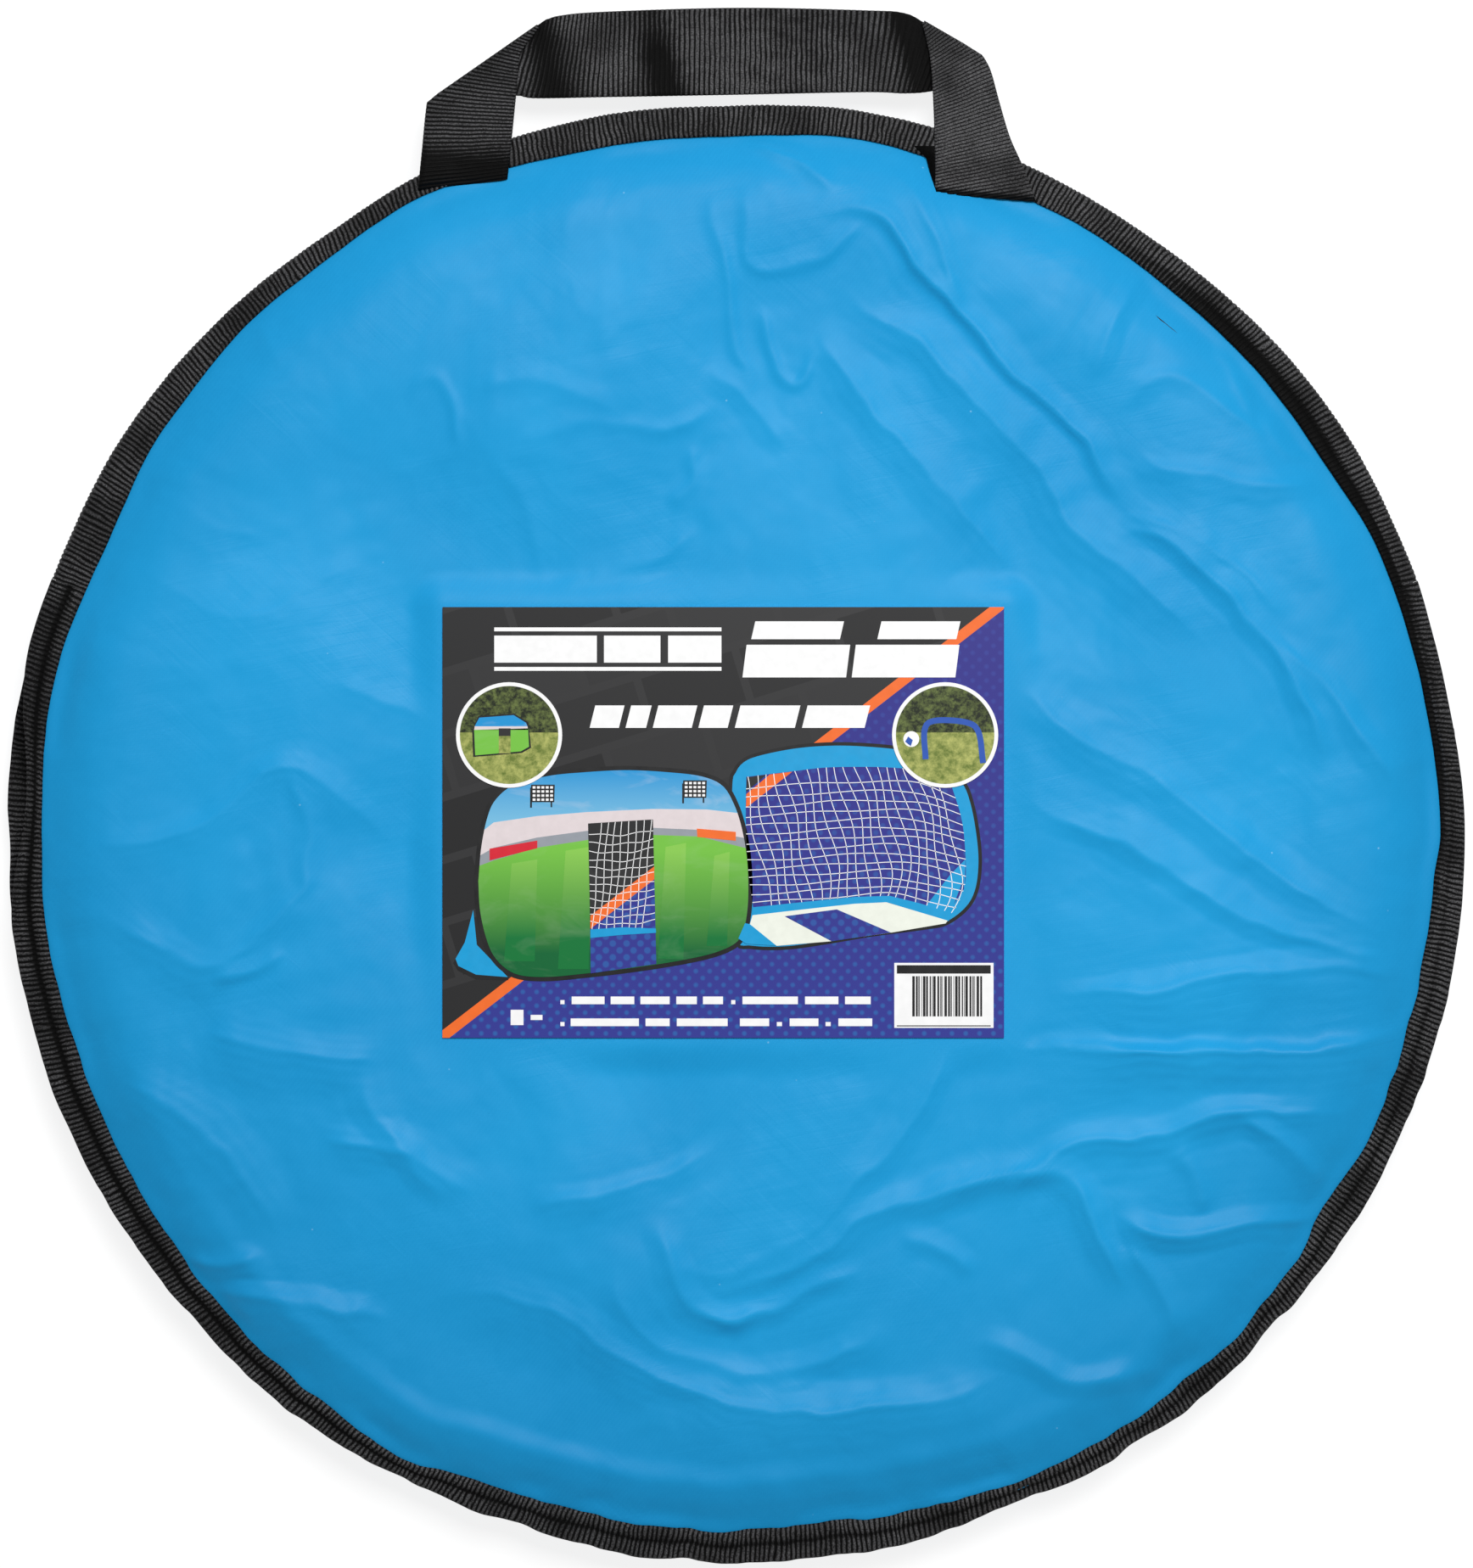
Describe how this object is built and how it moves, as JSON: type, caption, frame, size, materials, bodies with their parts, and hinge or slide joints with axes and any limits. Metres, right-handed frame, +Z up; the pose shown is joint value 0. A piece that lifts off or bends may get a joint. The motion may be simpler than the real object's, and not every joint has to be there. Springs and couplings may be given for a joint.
{
  "type": "pop up goal",
  "caption": "Pop up goal packed flat in a round zipped fabric bag with a webbing handle: sprung frames, net and sheets coiled inside.",
  "frame": {"origin": "middle of the bag's back panel, on the surface that the bag lies on", "axes": "+Z up out of the front panel, +Y towards the carry handle, +X to the right seen from the front"},
  "size_m": [0.5714, 0.6089, 0.0409],
  "materials": {
    "bag_fabric": "satin",
    "binding": "matte",
    "webbing": "matte",
    "zip_nylon": "satin",
    "zip_metal": "satin",
    "card": "gloss",
    "spring_steel": "satin",
    "sleeve": "matte",
    "floor_fabric": "matte",
    "keeper_fabric": "matte",
    "net": "matte",
    "pouch": "matte",
    "peg_steel": "satin"
  },
  "bodies": {
    "bag": {"back_panel": "bag_fabric", "front_panel_top": "bag_fabric", "back_binding": "binding", "top_binding": "binding", "zip_tape_back": "zip_nylon", "zip_coil_back": "zip_nylon", "zip_top_stop": "zip_metal", "zip_end_stop": "zip_metal", "handle_end_left": "webbing", "handle_end_right": "webbing", "goal_frame_wire": "spring_steel", "goal_frame_sleeve": "sleeve", "goal_frame_ferrule": "spring_steel", "base_frame_wire": "spring_steel", "base_frame_sleeve": "sleeve", "base_frame_ferrule": "spring_steel", "goal_border": "bag_fabric", "goal_net": "net", "floor_sheet": "floor_fabric", "keeper_sheet": "keeper_fabric", "peg_pouch": "pouch", "ground_peg_1": "peg_steel", "ground_peg_2": "peg_steel", "ground_peg_3": "peg_steel", "ground_peg_4": "peg_steel", "peg_loop_1": "webbing", "peg_loop_2": "webbing", "peg_loop_3": "webbing", "peg_loop_4": "webbing"},
    "front_flap": {"front_panel_flap": "bag_fabric", "front_binding": "binding", "zip_tape_front": "zip_nylon", "zip_coil_front": "zip_nylon", "label_card": "card"},
    "handle": {"carry_handle": "webbing"},
    "slider": {"zip_slider": "zip_metal"},
    "pull": {"zip_pull_tab": "zip_metal"}
  },
  "joints": [
    {"name": "flap_fold", "type": "hinge", "parent": "bag", "child": "front_flap", "pos_m": [0, 0.1, 0.0403], "axis": [-1, 0, 0], "range_deg": [0, 150]},
    {"name": "handle_fold", "type": "hinge", "parent": "bag", "child": "handle", "pos_m": [0, 0.2726, 0.0278], "axis": [1, 0, 0], "range_deg": [-2, 130]},
    {"name": "zip_run", "type": "hinge", "parent": "bag", "child": "slider", "pos_m": [0, 0, 0.02], "axis": [0, 0, 1], "range_deg": [-200, 0]},
    {"name": "pull_swing", "type": "hinge", "parent": "slider", "child": "pull", "pos_m": [0.28074, 0.03946, 0.02], "axis": [0, 0, 1], "range_deg": [0, 180]}
  ]
}
